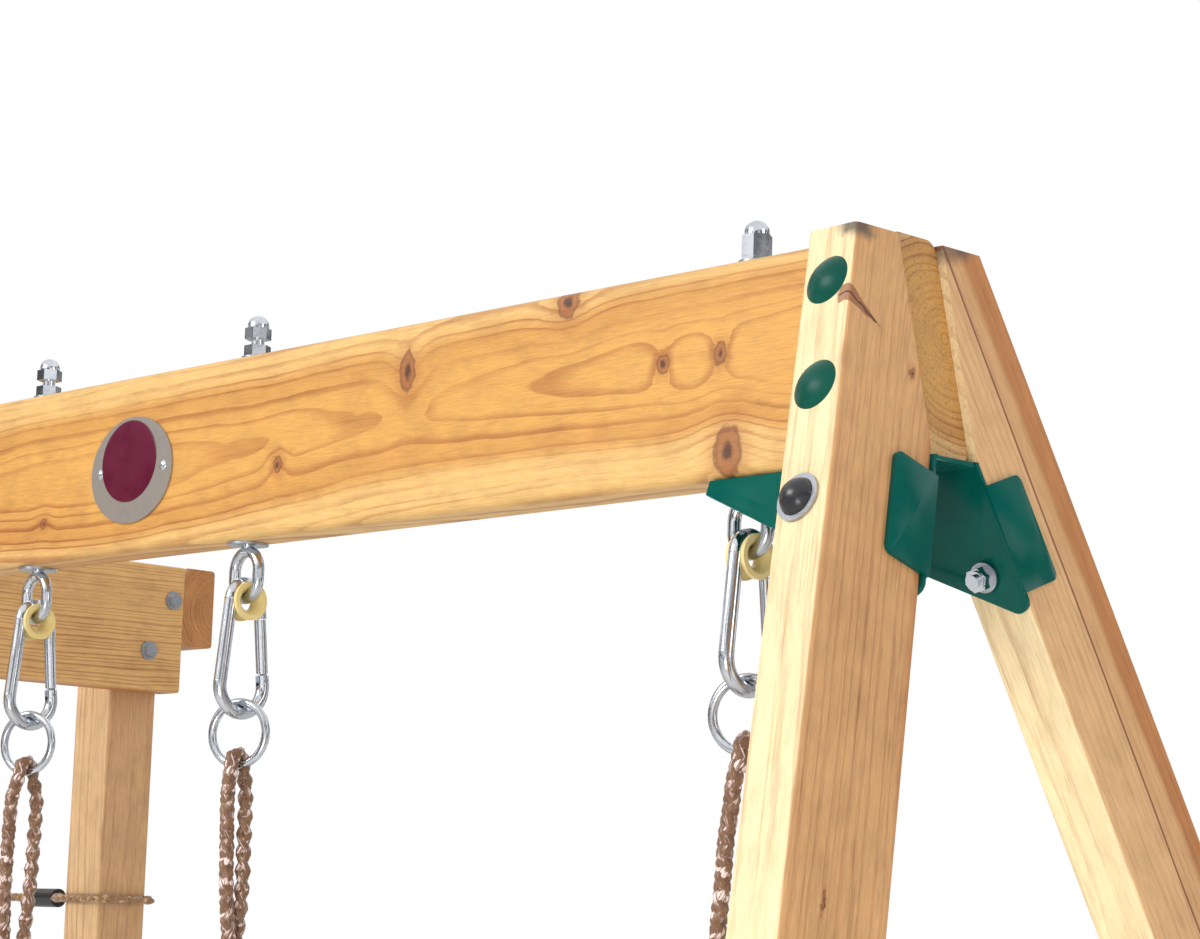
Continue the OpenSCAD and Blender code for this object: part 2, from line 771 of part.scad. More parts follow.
beam();
leg(-1);  // front_leg
leg(1);  // back_leg
leg_spreader();
apex_bracket();
beam_bolts();
beam_bolt_caps();
bracket_bolts();
bracket_washers();
bracket_bolt_caps();
bracket_nuts();
spreader_bolts();
eyebolts();
lower_washers();
upper_washers();
hanger_nuts();
acorn_nuts();
snap_hook(0);  // snap_hook_1
snap_hook(1);  // snap_hook_2
snap_hook(2);  // snap_hook_3
snap_hook(3);  // snap_hook_4
gate(0);  // gate_1
gate(1);  // gate_2
gate(2);  // gate_3
gate(3);  // gate_4
bushes(0);  // bushes_1
bushes(2);  // bushes_2
gate_pins(0);  // gate_pins_1
gate_pins(2);  // gate_pins_2
rings(0);  // rings_1
rings(2);  // rings_2
rope(0);  // rope_1
rope(1);  // rope_2
rope(2);  // rope_3
rope(3);  // rope_4
rope_adjusters(0);  // rope_adjusters_1
rope_adjusters(2);  // rope_adjusters_2
seat(0);  // seat_1
seat(2);  // seat_2
badge();
badge_screws();
header(near_x - header_t / 2);  // near_header
header(far_x + header_t / 2);  // far_header
rail(-1, top_rail_mid);  // front_top_rail
rail(1, top_rail_mid);  // back_top_rail
rail(-1, low_rail_mid);  // front_low_rail
rail(1, low_rail_mid);  // back_low_rail
post(near_post_x, -1);  // near_front_post
post(near_post_x, 1);  // near_back_post
post(far_post_x, -1);  // far_front_post
post(far_post_x, 1);  // far_back_post
beam_shoe();
shoe_bolts();
bay_bolts();
net_ropes();
net_ferrules();
net_clamps();
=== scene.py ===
# %% [markdown]
# # A timber double swing set in Blender
# The steel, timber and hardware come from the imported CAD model, which is loaded first and never moved.
# Blender adds what CAD can't: grain and knots, powder coat, zinc plate, plaited rope and moulded seats.

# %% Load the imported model
import math

import bmesh
import bpy
from mathutils import Matrix, Vector


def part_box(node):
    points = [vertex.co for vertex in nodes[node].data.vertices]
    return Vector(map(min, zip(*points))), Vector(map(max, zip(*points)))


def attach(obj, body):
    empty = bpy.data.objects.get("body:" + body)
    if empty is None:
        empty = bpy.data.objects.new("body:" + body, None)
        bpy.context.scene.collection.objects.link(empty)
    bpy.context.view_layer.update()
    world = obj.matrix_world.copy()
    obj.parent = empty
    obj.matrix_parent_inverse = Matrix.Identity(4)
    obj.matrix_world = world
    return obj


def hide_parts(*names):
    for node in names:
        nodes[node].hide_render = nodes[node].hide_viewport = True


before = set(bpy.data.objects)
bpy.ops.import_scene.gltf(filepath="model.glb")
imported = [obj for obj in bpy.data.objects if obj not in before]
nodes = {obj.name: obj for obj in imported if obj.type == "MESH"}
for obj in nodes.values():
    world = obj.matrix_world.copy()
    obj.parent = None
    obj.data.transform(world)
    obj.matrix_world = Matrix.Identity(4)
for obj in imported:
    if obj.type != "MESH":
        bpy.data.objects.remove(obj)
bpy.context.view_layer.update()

# %% [markdown]
# ## Where the timber is
# Every position below is measured from two places on the model: the leg frame's top corner and the
# beam's underside. Both are read from the loaded boxes, so nothing drifts if the CAD changes.

# %% Reference points
BEAM_RUN = 1.507
BEAM_HEIGHT = 0.135
LEAN = math.radians(11.6)
SPLAY = math.radians(20)
corner_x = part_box("near_header")[1][0] + BEAM_RUN
beam_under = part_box("beam")[0][2]
beam_top = beam_under + BEAM_HEIGHT
hanger_x = [corner_x - 0.129, corner_x - 0.625, corner_x - 0.894, corner_x - 1.390]
hanger_drop = [0.003, 0.0, 0.0, 0.003]
print("corner", round(corner_x, 4), "beam from", round(beam_under, 3), "to", round(beam_top, 3))


def on_beam(back, up):
    """A point on the beam's front face, back from the corner and up from the underside."""
    return Vector((corner_x - back, -0.02, beam_under + up))


# %% [markdown]
# ## Camera
# The viewer stands in front of the leg frame at eye height and looks up at the beam's end.
# The angles are turns about Z, up from level, and a slight tilt of the camera about its own axis.

# %% Camera
YAW, PITCH, ROLL = (math.radians(a) for a in (45.834, 8.984, 1.689))
forward = Vector((-math.sin(YAW) * math.cos(PITCH), math.cos(YAW) * math.cos(PITCH), math.sin(PITCH)))
level_right = Vector((math.cos(YAW), math.sin(YAW), 0))
level_up = level_right.cross(forward)
right = level_right * math.cos(ROLL) + level_up * math.sin(ROLL)
up = level_up * math.cos(ROLL) - level_right * math.sin(ROLL)

camera_data = bpy.data.cameras.new("Eye level camera")
camera_data.lens = 88.949
camera_data.sensor_width = 36
camera_data.clip_end = 60
camera = bpy.data.objects.new("Eye level camera", camera_data)
place = Matrix((right, up, -forward)).transposed().to_4x4()
place.translation = Vector((corner_x + 1.08062, -1.30359, beam_under - 0.27535))
camera.matrix_world = place
bpy.context.collection.objects.link(camera)
bpy.context.scene.camera = camera
bpy.context.scene.view_settings.view_transform = "Standard"
print("camera at", [round(c, 3) for c in place.translation], "lens", camera_data.lens)

# %% [markdown]
# ## Floor and light
# A pale floor bounces light up under the beam. A large soft lamp high on the left lights the faces
# that look to the front, a small low one reaches in under the beam and between the legs, and a weak
# one fills the end. The room is white, with darker bands that only polished metal shows.

# %% Floor
floor_mesh = bpy.data.meshes.new("Studio floor")
FLOOR_HALF = 6
floor_corners = [(x * FLOOR_HALF, y * FLOOR_HALF, 0) for x, y in ((-1, -1), (1, -1), (1, 1), (-1, 1))]
floor_mesh.from_pydata(floor_corners, [], [(0, 1, 2, 3)])
floor = bpy.data.objects.new("Studio floor", floor_mesh)
bpy.context.collection.objects.link(floor)


def srgb(r, g, b):
    """A screen colour of 0 to 255 as the linear colour that shaders use."""
    def straight(c):
        c = c / 255
        return c / 12.92 if c <= 0.04045 else ((c + 0.055) / 1.055) ** 2.4
    return (straight(r), straight(g), straight(b), 1.0)


# %% Lamps
def soft_lamp(name, where, aim, size, power, colour=(1, 1, 1)):
    lamp = bpy.data.lights.new(name, "AREA")
    lamp.shape = "RECTANGLE"
    lamp.size, lamp.size_y = size
    lamp.energy = power
    lamp.color = colour
    piece = bpy.data.objects.new(name, lamp)
    piece.location = where
    piece.rotation_euler = (Vector(aim) - Vector(where)).to_track_quat("-Z", "Y").to_euler()
    bpy.context.collection.objects.link(piece)
    return piece


WARM_WHITE = (1.0, 0.985, 0.96)
soft_lamp("Front lamp", (corner_x - 1.6, -3.6, 3.9), (corner_x - 0.5, 0, 1.9), (2.2, 1.4), 100, WARM_WHITE)
soft_lamp("Low front lamp", (corner_x + 1.1, -2.34, 1.0), (corner_x, 0, 1.9), (0.9, 0.9), 21, WARM_WHITE)
soft_lamp("End lamp", (corner_x + 3.2, 0.6, 3.0), (corner_x, 0, 1.8), (1.2, 1.8), 16)


# %% [markdown]
# ## Small helpers for shader nodes
# Materials are built from nodes in code. These helpers keep each step to one line: `calc` makes a
# Math node, `mix_colour` a colour mix and `group_with` a node group with named sockets.

# %% Node helpers
def feed(tree, value, socket):
    """Link an output to a socket, or set the socket if the value is a plain number or colour."""
    if isinstance(value, bpy.types.NodeSocket):
        tree.links.new(value, socket)
    else:
        socket.default_value = value


def calc(tree, operation, *values, clamp=False):
    node = tree.nodes.new("ShaderNodeMath")
    node.operation = operation
    node.use_clamp = clamp
    for k, value in enumerate(values):
        feed(tree, value, node.inputs[k])
    return node.outputs[0]


def vector_calc(tree, operation, a, b=None):
    node = tree.nodes.new("ShaderNodeVectorMath")
    node.operation = operation
    feed(tree, a, node.inputs[0])
    if b is not None:
        feed(tree, b, node.inputs[1])
    return node.outputs["Value"] if operation in ("DOT_PRODUCT", "LENGTH", "DISTANCE") else node.outputs[0]


def mix_colour(tree, factor, a, b, blend="MIX"):
    node = tree.nodes.new("ShaderNodeMix")
    node.data_type = "RGBA"
    node.blend_type = blend
    for value, k in ((factor, 0), (a, 6), (b, 7)):
        feed(tree, value, node.inputs[k])
    return node.outputs[2]


def step(tree, value, low, high, to_low=0.0, to_high=1.0):
    """A smooth change from to_low to to_high while the value goes from low to high."""
    node = tree.nodes.new("ShaderNodeMapRange")
    node.interpolation_type = "SMOOTHSTEP"
    for k, item in enumerate((value, low, high, to_low, to_high)):
        feed(tree, item, node.inputs[k])
    return node.outputs[0]


def speckle(tree, vector, scale, detail=2.0, rough=0.5, colour=False):
    """A noise texture; scale is a number, or three numbers to stretch it."""
    node = tree.nodes.new("ShaderNodeTexNoise")
    if not isinstance(scale, (int, float)):
        vector, scale = vector_calc(tree, "MULTIPLY", vector, scale), 1.0
    feed(tree, vector, node.inputs["Vector"])
    node.inputs["Scale"].default_value = scale
    node.inputs["Detail"].default_value = detail
    node.inputs["Roughness"].default_value = rough
    return node.outputs[1 if colour else 0]


SOCKETS = {"vector": "NodeSocketVector", "colour": "NodeSocketColor", "value": "NodeSocketFloat"}


def group_with(name, inputs, outputs):
    """A node group with named sockets, its input node and its output node."""
    tree = bpy.data.node_groups.new(name, "ShaderNodeTree")
    for label, kind, start in inputs:
        socket = tree.interface.new_socket(label, in_out="INPUT", socket_type=SOCKETS[kind])
        socket.default_value = start
    for label, kind in outputs:
        tree.interface.new_socket(label, in_out="OUTPUT", socket_type=SOCKETS[kind])
    return tree, tree.nodes.new("NodeGroupInput").outputs, tree.nodes.new("NodeGroupOutput").inputs


def use(tree, group, **values):
    """Place a group in a material; words in socket names are joined by _ in the call."""
    node = tree.nodes.new("ShaderNodeGroup")
    node.node_tree = group
    for label, value in values.items():
        feed(tree, value, node.inputs[label.replace("_", " ")])
    return node.outputs


def new_material(name):
    material = bpy.data.materials.new(name)
    material.use_nodes = True
    tree = material.node_tree
    shader = tree.nodes["Principled BSDF"]
    point = tree.nodes.new("ShaderNodeTexCoord").outputs["Object"]
    return material, tree, shader, point


def bump(tree, shader, height, distance, strength=1.0):
    node = tree.nodes.new("ShaderNodeBump")
    node.inputs["Strength"].default_value = strength
    node.inputs["Distance"].default_value = distance
    tree.links.new(height, node.inputs["Height"])
    tree.links.new(node.outputs[0], shader.inputs["Normal"])


# %% Room light
world = bpy.data.worlds.new("White studio")
bpy.context.scene.world = world
world.use_nodes = True
sky = world.node_tree
sky.nodes.clear()
look = sky.nodes.new("ShaderNodeTexCoord").outputs["Generated"]
path = sky.nodes.new("ShaderNodeLightPath").outputs
parts = sky.nodes.new("ShaderNodeSeparateXYZ")
sky.links.new(look, parts.inputs[0])
panels = speckle(sky, look, (3.0, 3.0, 5.5), 0.0)
bands = step(sky, panels, 0.44, 0.56, 0.10, 1.25)
softbox = calc(sky, "MAXIMUM", bands, step(sky, parts.outputs[2], 0.35, 0.6, 0.0, 1.1))
seen = path["Is Glossy Ray"]
ROOM_FILL = 0.72
fill = calc(sky, "MULTIPLY", calc(sky, "SUBTRACT", 1.0, seen), ROOM_FILL)
strength = calc(sky, "ADD", calc(sky, "MULTIPLY", seen, softbox), fill)
strength = calc(sky, "MAXIMUM", strength, path["Is Camera Ray"])
background = sky.nodes.new("ShaderNodeBackground")
background.inputs["Color"].default_value = (1, 1, 1, 1)
sky.links.new(strength, background.inputs["Strength"])
world_out = sky.nodes.new("ShaderNodeOutputWorld")
sky.links.new(background.outputs[0], world_out.inputs[0])
print("room light ready")

# %% Floor finish
floor_material, tree, shader, point = new_material("Pale floor")
tone = step(tree, speckle(tree, point, 1.2, 3), 0.3, 0.7)
feed(tree, mix_colour(tree, tone, (0.86, 0.86, 0.85, 1), (0.9, 0.9, 0.89, 1)), shader.inputs["Base Color"])
shader.inputs["Roughness"].default_value = 0.7
floor_mesh.materials.append(floor_material)

# %% [markdown]
# ## Softwood
# A plank shows growth rings cut along their length. A ring is a surface at one distance from the
# tree's heart, so the colour comes from that distance, wandered by slow noise; this gives the long
# arches on a flat face and arcs on the end, all from one rule. Far from the heart the wood is pale
# sapwood, near it warm heartwood. A knot is a branch: it pushes the rings aside and has a dark core.
# Each is a group, so a timber piece only brings its own numbers.

# %% Group: grain direction
grain_space, given, result = group_with(
    "Grain direction",
    [("Point", "vector", (0, 0, 0)), ("Start", "vector", (0, 0, 0)), ("Along", "vector", (1, 0, 0)),
     ("Across", "vector", (0, 1, 0)), ("Through", "vector", (0, 0, 1))],
    [("Plank", "vector")])
from_start = vector_calc(grain_space, "SUBTRACT", given["Point"], given["Start"])
plank = grain_space.nodes.new("ShaderNodeCombineXYZ")
for k, axis in enumerate(("Along", "Across", "Through")):
    feed(grain_space, vector_calc(grain_space, "DOT_PRODUCT", from_start, given[axis]), plank.inputs[k])
feed(grain_space, plank.outputs[0], result["Plank"])

# %% Group: knot
knot_group, given, result = group_with(
    "Knot",
    [("Plank", "vector", (0, 0, 0)), ("Centre", "vector", (0, 0, 0)), ("Radius", "value", 0.01),
     ("Stretch", "vector", (1, 1, 1))],
    [("Core", "value"), ("Body", "value"), ("Rim", "value"), ("Halo", "value"), ("Push", "value")])
offset = vector_calc(knot_group, "SUBTRACT", given["Plank"], given["Centre"])
offset = vector_calc(knot_group, "MULTIPLY", offset, given["Stretch"])
shake = vector_calc(knot_group, "SCALE", vector_calc(
    knot_group, "SUBTRACT", speckle(knot_group, given["Plank"], 170, 3, colour=True), (0.5, 0.5, 0.5)))
shake.node.inputs["Scale"].default_value = 0.006
shaken = vector_calc(knot_group, "ADD", offset, shake)
distance = calc(knot_group, "DIVIDE", vector_calc(knot_group, "LENGTH", shaken), given["Radius"])
feed(knot_group, step(knot_group, distance, 0.6, 0.2), result["Core"])
feed(knot_group, step(knot_group, distance, 1.15, 0.8), result["Body"])
ring = calc(knot_group, "ABSOLUTE", calc(knot_group, "SUBTRACT", distance, 1.0))
feed(knot_group, step(knot_group, ring, 0.22, 0.03), result["Rim"])
feed(knot_group, step(knot_group, distance, 2.6, 0.9), result["Halo"])
feed(knot_group, calc(knot_group, "EXPONENT", calc(
    knot_group, "MULTIPLY", calc(knot_group, "MULTIPLY", distance, distance), -0.13)), result["Push"])

# %% Group: softwood
softwood, given, result = group_with(
    "Softwood",
    [("Plank", "vector", (0, 0, 0)), ("Heartwood", "colour", srgb(226, 165, 92)),
     ("Sapwood", "colour", srgb(240, 208, 152)), ("Line", "colour", srgb(170, 96, 34)),
     ("Heart", "vector", (0, 0.03, 0)), ("Ring Width", "value", 0.004),
     ("Wander", "value", 0.03), ("Push", "value", 0.0), ("Contrast", "value", 0.6),
     ("Sap From", "value", 0.06), ("Fleck", "value", 0.3)],
    [("Color", "colour"), ("Height", "value"), ("Roughness", "value")])
half = (0.5, 0.5, 0.5)
slow = speckle(softwood, given["Plank"], (1.5, 2.6, 2.6), 0.0, colour=True)
slow = vector_calc(softwood, "SUBTRACT", slow, half)
slow = vector_calc(softwood, "SCALE", slow)
feed(softwood, given["Wander"], slow.node.inputs["Scale"])
quick = vector_calc(softwood, "SCALE", vector_calc(
    softwood, "SUBTRACT", speckle(softwood, given["Plank"], (8, 26, 26), 2.0, colour=True), half))
quick.node.inputs["Scale"].default_value = 0.006
bent = vector_calc(softwood, "SUBTRACT", vector_calc(
    softwood, "ADD", given["Plank"], vector_calc(softwood, "ADD", slow, quick)), given["Heart"])
from_heart = vector_calc(softwood, "LENGTH", vector_calc(softwood, "MULTIPLY", bent, (0, 1, 1)))
pushed = calc(softwood, "ADD", from_heart, calc(softwood, "MULTIPLY", given["Push"], 0.007))
uneven = calc(softwood, "ADD", pushed, calc(softwood, "MULTIPLY", calc(
    softwood, "SINE", calc(softwood, "MULTIPLY", pushed, 420.0)), 0.0011))
year = calc(softwood, "FRACT", calc(softwood, "DIVIDE", uneven, given["Ring Width"]))
line = calc(softwood, "MULTIPLY", step(softwood, year, 0.55, 0.93), step(softwood, year, 1.0, 0.95))
fade = speckle(softwood, given["Plank"], (3.0, 26, 26), 2.0)
line_show = calc(softwood, "MULTIPLY", line, step(softwood, fade, 0.3, 0.65, 0.15, 1.0))
fibre = speckle(softwood, given["Plank"], (60, 1300, 1300), 2.0, 0.6)
hair = speckle(softwood, given["Plank"], (9, 420, 420), 3.0, 0.6)
cloud = speckle(softwood, given["Plank"], (3.0, 16, 16), 3.0)
mottle = speckle(softwood, given["Plank"], (30, 60, 60), 3.0, 0.6)
sap = step(softwood, calc(softwood, "SUBTRACT", pushed, given["Sap From"]), -0.003, 0.007)
colour = mix_colour(softwood, sap, given["Heartwood"], given["Sapwood"])
edge = step(softwood, calc(softwood, "SUBTRACT", pushed, given["Sap From"]), -0.016, -0.002)
edge = calc(softwood, "MULTIPLY", edge, calc(softwood, "SUBTRACT", 1.0, sap))
tone = calc(softwood, "MULTIPLY", line_show, given["Contrast"])
tone = calc(softwood, "ADD", tone, calc(softwood, "MULTIPLY", edge, 0.22))
tone = calc(softwood, "ADD", tone, step(softwood, cloud, 0.48, 0.8, 0.0, 0.20))
tone = calc(softwood, "ADD", tone, calc(softwood, "MULTIPLY", step(softwood, hair, 0.5, 0.8), given["Fleck"]))
tone = calc(softwood, "ADD", tone, step(softwood, mottle, 0.48, 0.8, 0.0, 0.12), clamp=True)
colour = mix_colour(softwood, tone, colour, given["Line"])
fibre_light = step(softwood, fibre, 0.25, 0.75, 0.86, 1.10)
bright = calc(softwood, "MULTIPLY", fibre_light, step(softwood, mottle, 0.25, 0.7, 1.06, 0.94))
bright_colour = softwood.nodes.new("ShaderNodeCombineColor")
for k in range(3):
    feed(softwood, bright, bright_colour.inputs[k])
feed(softwood, mix_colour(softwood, 1.0, colour, bright_colour.outputs[0], "MULTIPLY"), result["Color"])
raised = calc(softwood, "ADD", calc(softwood, "MULTIPLY", fibre, 0.6), calc(softwood, "MULTIPLY", line, 0.3))
feed(softwood, raised, result["Height"])
feed(softwood, calc(softwood, "ADD", 0.42, calc(softwood, "MULTIPLY", fibre, 0.2)), result["Roughness"])

# %% Group: face tint, partly painted shade
face_tone_and_shade, given, result = group_with(
    "Face tint",
    [("Color", "colour", (1, 1, 1, 1)), ("Normal", "vector", (0, 0, 1)), ("Facing", "vector", (1, 0, 0)),
     ("Tint", "colour", srgb(213, 178, 160)), ("Amount", "value", 1.0), ("Plank", "vector", (0, 0, 0)),
     ("Pores", "value", 0.0)],
    [("Color", "colour"), ("Mask", "value")])
# Faces that look along Facing are multiplied by Tint: partly the wood's own tone on that side, partly painted
# shade. Pores add the end grain's own dark pores.
facing = calc(face_tone_and_shade, "ABSOLUTE", vector_calc(face_tone_and_shade, "DOT_PRODUCT", given["Normal"], given["Facing"]))
mask = step(face_tone_and_shade, facing, 0.6, 0.9)
pores = step(face_tone_and_shade, speckle(face_tone_and_shade, given["Plank"], 620, 3, 0.7), 0.52, 0.7)
pores = calc(face_tone_and_shade, "MULTIPLY", pores, given["Pores"])
share = calc(face_tone_and_shade, "MULTIPLY", mask, given["Amount"])
tinted = mix_colour(face_tone_and_shade, share, given["Color"], given["Tint"], "MULTIPLY")
dark = mix_colour(face_tone_and_shade, calc(face_tone_and_shade, "MULTIPLY", mask, pores), tinted, srgb(96, 62, 34))
feed(face_tone_and_shade, dark, result["Color"])
feed(face_tone_and_shade, mask, result["Mask"])
print("groups", [g.name for g in bpy.data.node_groups])


# %% A timber finish
KNOT_CORE, KNOT_BODY, KNOT_RIM = srgb(58, 28, 16), srgb(150, 84, 40), srgb(96, 46, 20)
# A slight cool darkening for end grain: partly its own tone, partly painted shade.
CUT_END_TONE_AND_SHADE = srgb(240, 240, 255)


def timber(name, start, along, across, heart, woods, knots=(), dark_patches=(), sides=(), ring=0.004, wander=0.03,
           contrast=0.55, sap_from=0.06, fleck=0.3, extra=None):
    """Softwood for one piece. Knots and dark patches are given in the plank's own directions."""
    material, tree, shader, point = new_material(name)
    along, across = Vector(along).normalized(), Vector(across).normalized()
    through = along.cross(across)
    plank_point = use(tree, grain_space, Point=point, Start=start, Along=along, Across=across,
                      Through=through)[0]
    normal = tree.nodes.new("ShaderNodeNewGeometry").outputs["Normal"]
    placed = [use(tree, knot_group, Plank=plank_point, Centre=centre, Radius=radius, Stretch=stretch)
              for centre, radius, stretch in knots]
    push = 0.0
    for knot, (centre, radius, stretch) in zip(placed, knots):
        push = calc(tree, "ADD", push, calc(tree, "MULTIPLY", knot["Push"], radius / 0.008))
    heartwood, sapwood, line_colour = woods
    wood = use(tree, softwood, Plank=plank_point, Heartwood=heartwood, Sapwood=sapwood, Line=line_colour,
               Heart=heart, Ring_Width=ring, Wander=wander, Push=push, Contrast=contrast,
               Sap_From=sap_from, Fleck=fleck)
    colour = wood["Color"]
    # Side tints: partly the wood's own tone on those faces, partly painted shade.
    for facing, tint, amount in sides:
        colour = use(tree, face_tone_and_shade, Color=colour, Normal=normal, Facing=facing, Tint=tint, Amount=amount,
                     Plank=plank_point)["Color"]
    # End grain: dark pores, and a tint that is partly its own tone and partly painted shade.
    colour = use(tree, face_tone_and_shade, Color=colour, Normal=normal, Facing=along, Tint=CUT_END_TONE_AND_SHADE, Amount=1.0,
                 Plank=plank_point, Pores=0.55)["Color"]
    for knot in placed:
        colour = mix_colour(tree, calc(tree, "MULTIPLY", knot["Halo"], 0.35), colour, line_colour)
        colour = mix_colour(tree, calc(tree, "MULTIPLY", knot["Body"], 0.75), colour, KNOT_BODY)
        colour = mix_colour(tree, calc(tree, "MULTIPLY", knot["Rim"], 0.55), colour, KNOT_RIM)
        colour = mix_colour(tree, calc(tree, "MULTIPLY", knot["Core"], 0.85), colour, KNOT_CORE)
    for centre, radius, stretch, strength, tint in dark_patches:
        knot = use(tree, knot_group, Plank=plank_point, Centre=centre, Radius=radius, Stretch=stretch)
        colour = mix_colour(tree, calc(tree, "MULTIPLY", knot["Halo"], strength), colour, tint)
    if extra:
        colour = extra(tree, point, plank_point, colour)
    feed(tree, colour, shader.inputs["Base Color"])
    feed(tree, wood["Roughness"], shader.inputs["Roughness"])
    shader.inputs["Coat Weight"].default_value = 0.08
    shader.inputs["Coat Roughness"].default_value = 0.4
    bump(tree, shader, wood["Height"], 0.0004, 0.5)
    return material


def finish_with(node, material):
    """Give every face of a CAD node one material."""
    slots = nodes[node].material_slots
    for slot in slots:
        slot.link = "OBJECT"
        slot.material = material
    if not slots:
        nodes[node].data.materials.append(material)


# %% [markdown]
# ## The beam
# Flat-sawn softwood, oiled to a warm honey colour: heartwood along the middle, pale sapwood along
# the top and bottom edges, thin dark rings. Its knots are set where they lie on the real plank.

# %% Beam timber
ROUND = (1, 1, 1)
HONEY = (srgb(216, 160, 78), srgb(226, 182, 112), srgb(156, 84, 26))
BEAM_KNOTS = [
    ((-0.431, 0.101), 0.0072, (1.0, 0.35, 0.55)),
    ((-0.5695, 0.050), 0.0045, (1.0, 0.35, 0.7)),
    ((-0.188, 0.077), 0.0050, (1.0, 0.35, 0.8)),
    ((-0.139, 0.078), 0.0050, (1.0, 0.35, 0.75)),
    ((-0.275, 0.128), 0.0075, (0.8, 0.35, 0.75)),
    ((-0.131, 0.017), 0.0105, (1.0, 0.35, 0.7)),
    ((-0.860, 0.030), 0.0036, (0.8, 0.35, 0.9)),
    ((-1.180, 0.085), 0.0070, (0.8, 0.35, 0.8)),
]
beam_start = (corner_x, -0.02, beam_under)
beam_timber = timber(
    "Beam timber", beam_start, (1, 0, 0), (0, 1, 0), (0, 0.040, 0.068), HONEY,
    [((x, 0.0, z), r, s) for (x, z), r, s in BEAM_KNOTS], wander=0.041, ring=0.0052, contrast=0.6,
    sap_from=0.059, fleck=0.2)
finish_with("beam", beam_timber)

# %% [markdown]
# ## The legs
# Paler wood than the beam. The outer faces are cream sapwood. The end faces carry fine dark flecks
# and are multiplied by a brown tint by the way they face: partly browner heartwood, partly painted
# shade. A spike knot tapers in from the front leg's edge, and one long dark grain line runs down the back leg.

# %% Leg timber
leg_splay = math.atan(math.tan(SPLAY) * math.cos(LEAN))


def leg_axes(side):
    """Directions up a leg, out through its end face and across it, and its start at the beam's underside."""
    turn = Matrix.Rotation(-LEAN, 3, "Y") @ Matrix.Rotation(side * leg_splay, 3, "X")
    start = Vector((corner_x + BEAM_HEIGHT * math.tan(LEAN), side * 0.02, beam_under))
    return turn @ Vector((0, 0, 1)), turn @ Vector((1, 0, 0)), turn @ Vector((0, side, 0)), start


up_front, end_front, out_front, start_front = leg_axes(-1)
up_back, end_back, _, start_back = leg_axes(1)
# A dark grey mixed in near the top of each leg.
DARK_TOP_PATCH = srgb(70, 62, 54)
LEG_END = 0.115
LEG_WOODS = (srgb(218, 166, 104), srgb(246, 222, 174), srgb(164, 104, 54))
END_FACE_BROWN_AND_SHADE = srgb(224, 188, 158)


def spike_knot(tree, point, plank_point, colour):
    """A branch cut along its length: a wedge from the leg's outer edge, 30 mm long."""
    tip = start_front + up_front * 0.057 + out_front * 0.0515
    mouth = start_front + up_front * 0.0665 + out_front * 0.081
    along = (mouth - tip).normalized()
    across = end_front.cross(along).normalized()
    wedge = use(tree, grain_space, Point=point, Start=tip, Along=along, Across=across, Through=end_front)[0]
    parts = tree.nodes.new("ShaderNodeSeparateXYZ")
    tree.links.new(wedge, parts.inputs[0])
    run, off, deep = parts.outputs
    wobble = calc(tree, "MULTIPLY", calc(tree, "SUBTRACT", speckle(tree, point, 190, 3), 0.5), 0.004)
    width = calc(tree, "ADD", calc(tree, "ABSOLUTE", off), wobble)
    width = calc(tree, "SUBTRACT", width, calc(tree, "MULTIPLY", run, 0.19))
    inside = calc(tree, "MULTIPLY", step(tree, width, 0.0006, -0.0004), step(tree, run, -0.001, 0.002))
    inside = calc(tree, "MULTIPLY", inside, step(tree, calc(tree, "ADD", deep, wobble), -0.009, -0.007))
    colour = mix_colour(tree, calc(tree, "MULTIPLY", inside, 0.8), colour, srgb(140, 78, 40))
    from_middle = calc(tree, "ABSOLUTE", calc(tree, "ADD", off, wobble))
    crack = calc(tree, "MULTIPLY", inside, step(tree, from_middle, 0.0011, 0.0003))
    return mix_colour(tree, calc(tree, "MULTIPLY", crack, 0.9), colour, srgb(62, 26, 14))


def long_line(tree, point, plank_point, colour):
    """One dark growth line along the leg, 45 mm out on its end face, browner beside it."""
    parts = tree.nodes.new("ShaderNodeSeparateXYZ")
    tree.links.new(plank_point, parts.inputs[0])
    waver = calc(tree, "MULTIPLY", calc(tree, "SUBTRACT", speckle(tree, point, 9, 1), 0.5), 0.003)
    off = calc(tree, "ADD", calc(tree, "SUBTRACT", parts.outputs[2], 0.0453), waver)
    shade = calc(tree, "MULTIPLY", step(tree, off, -0.0005, 0.0015), step(tree, off, 0.02, 0.004))
    colour = mix_colour(tree, calc(tree, "MULTIPLY", shade, 0.35), colour, srgb(186, 128, 74))
    line = step(tree, calc(tree, "ABSOLUTE", off), 0.0013, 0.0005)
    return mix_colour(tree, calc(tree, "MULTIPLY", line, 0.85), colour, srgb(112, 48, 24))


